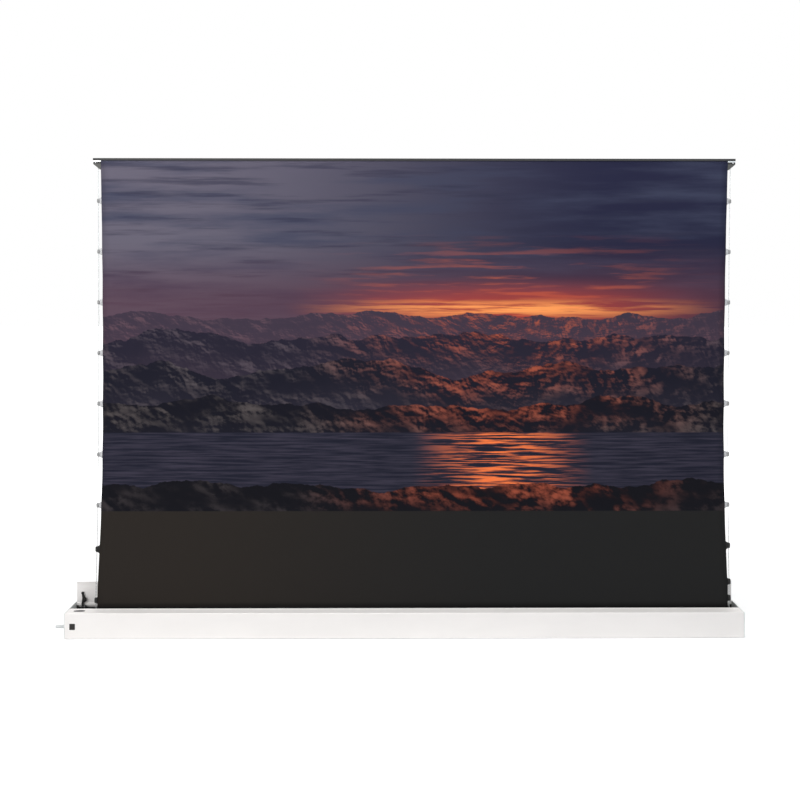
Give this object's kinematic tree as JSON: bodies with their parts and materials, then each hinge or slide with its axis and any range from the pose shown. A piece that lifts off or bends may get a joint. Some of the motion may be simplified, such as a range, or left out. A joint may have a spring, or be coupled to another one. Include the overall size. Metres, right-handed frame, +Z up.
{
  "type": "projection screen",
  "caption": "Floor-standing projection screen that rises from a long low case on two folding arms, with side tension cords and a hinged lid.",
  "frame": {"origin": "on the floor under the middle of the case, on the underside of the centre foot pad", "axes": "+X runs along the case to the right seen from the viewing side, -Y is the viewing side, +Z is up"},
  "size_m": [2.923, 0.1605, 2.035],
  "materials": {
    "white_shell": "satin white powder coat",
    "trough": "matt black paint inside the case",
    "end_cap": "fine-grained light grey moulding",
    "foot_pad": "matt",
    "window": "dark glossy infrared window",
    "inlay": "smooth dark, bare",
    "gland": "pale grey moulded sleeve",
    "control_box": "matt black moulding",
    "hinge_rail": "drawn, satin anodised",
    "roller_brackets": "zinc-plated sheet",
    "motor": "black moulded head and painted motor tube",
    "bearing": "ground",
    "roller_tube": "mill finish",
    "drop_fabric": "matt black backing",
    "roller_plastic": "black moulding",
    "arm_brackets": "black painted steel",
    "pins": "turned, zinc plated",
    "lift_springs": "oiled spring wire",
    "arms": "drawn, satin anodised",
    "top_bar": "drawn, satin anodised",
    "top_strip": "matt black extrusion",
    "cord_brackets": "grey moulding",
    "screen_fabric": "matt projection surface with a black border and drop",
    "tension_cord": "pale translucent cord with grey tabs",
    "lid": "satin white powder coat",
    "lever_brackets": "zinc-plated sheet",
    "lid_lever": "black moulding"
  },
  "bodies": {
    "case": {"front_cover": "white_shell", "base_trough": "trough", "end_cap_left": "end_cap", "end_cap_right": "end_cap", "foot_pad_left": "foot_pad", "foot_pad_centre": "foot_pad", "foot_pad_right": "foot_pad", "sensor_window": "window", "lip_inlay": "inlay", "cord_gland": "gland", "control_box": "control_box", "hinge_rail": "hinge_rail", "motor_bracket": "roller_brackets", "tubular_motor": "motor", "idler_bracket": "roller_brackets", "idler_bearing": "bearing", "arm_bracket_left": "arm_brackets", "arm_bracket_right": "arm_brackets", "base_pin_left": "pins", "base_pin_right": "pins", "lift_spring_left": "lift_springs", "lift_spring_right": "lift_springs", "lever_bracket_left": "lever_brackets", "lever_bracket_right": "lever_brackets"},
    "roller": {"roller_tube": "roller_tube", "fabric_roll": "drop_fabric", "drive_wheel": "roller_plastic", "idler_plug": "roller_plastic"},
    "lower_arm_left": {"lower_arm_left": "arms", "elbow_pin_left": "pins"},
    "upper_arm_left": {"upper_arm_left": "arms"},
    "lower_arm_right": {"lower_arm_right": "arms", "elbow_pin_right": "pins"},
    "upper_arm_right": {"upper_arm_right": "arms"},
    "top_bar": {"top_bar": "top_bar", "bar_top_strip": "top_strip", "bar_end_cap_left": "top_bar", "bar_end_cap_right": "top_bar", "cord_bracket_left": "cord_brackets", "cord_bracket_right": "cord_brackets", "top_pin_left": "pins", "top_pin_right": "pins", "screen_fabric": "screen_fabric", "tension_cord_left": "tension_cord", "tension_cord_right": "tension_cord"},
    "lid": {"lid_panel": "lid"},
    "lid_lever_left": {"lid_lever_left": "lid_lever"},
    "lid_lever_right": {"lid_lever_right": "lid_lever"}
  },
  "joints": [
    {"name": "lift_fold", "type": "hinge", "parent": "case", "child": "lower_arm_left", "pos_m": [-1.138, 0.042, 0.048], "axis": [0, 1, 0], "range_deg": [0, 62.64], "stiffness_Nm_per_rad": 80, "springref_deg": -85.94, "deforming": ["screen_fabric", "tension_cord_left", "tension_cord_right"]},
    {"name": "knee_left", "type": "hinge", "parent": "lower_arm_left", "child": "upper_arm_left", "pos_m": [-0.64934, 0.0335, 1.0335], "axis": [0, 1, 0], "range_deg": [-125.28, 0]},
    {"name": "bar_level", "type": "hinge", "parent": "upper_arm_left", "child": "top_bar", "pos_m": [-1.138, 0.025, 2.019], "axis": [0, 1, 0], "range_deg": [0, 62.65]},
    {"name": "arm_right", "type": "hinge", "parent": "case", "child": "lower_arm_right", "pos_m": [1.222, 0.042, 0.048], "axis": [0, 1, 0], "range_deg": [-62.65, 0]},
    {"name": "knee_right", "type": "hinge", "parent": "lower_arm_right", "child": "upper_arm_right", "pos_m": [0.73334, 0.0335, 1.0335], "axis": [0, 1, 0], "range_deg": [0, 125.28]},
    {"name": "roller_spin", "type": "hinge", "parent": "case", "child": "roller", "pos_m": [0.042, -0.036, 0.052], "axis": [1, 0, 0], "range_deg": [-4260.2, 0]},
    {"name": "lid_swing", "type": "hinge", "parent": "case", "child": "lid", "pos_m": [0, 0.0752, 0.1055], "axis": [1, 0, 0], "range_deg": [0, 12], "stiffness_Nm_per_rad": 1, "springref_deg": -34.38},
    {"name": "lever_left", "type": "hinge", "parent": "case", "child": "lid_lever_left", "pos_m": [-1.399, 0.06, 0.092], "axis": [1, 0, 0], "range_deg": [0, 9.8]},
    {"name": "lever_right", "type": "hinge", "parent": "case", "child": "lid_lever_right", "pos_m": [1.399, 0.06, 0.092], "axis": [1, 0, 0], "range_deg": [0, 9.8]}
  ],
  "couplings": [
    {"joint": "knee_left", "follows": "lift_fold", "ratio": -2},
    {"joint": "bar_level", "follows": "lift_fold", "ratio": 1},
    {"joint": "arm_right", "follows": "lift_fold", "ratio": -1},
    {"joint": "knee_right", "follows": "lift_fold", "ratio": 2},
    {"joint": "roller_spin", "follows": "lift_fold", "ratio": -68},
    {"joint": "lever_left", "follows": "lid_swing", "ratio": 0.815},
    {"joint": "lever_right", "follows": "lid_swing", "ratio": 0.815}
  ]
}
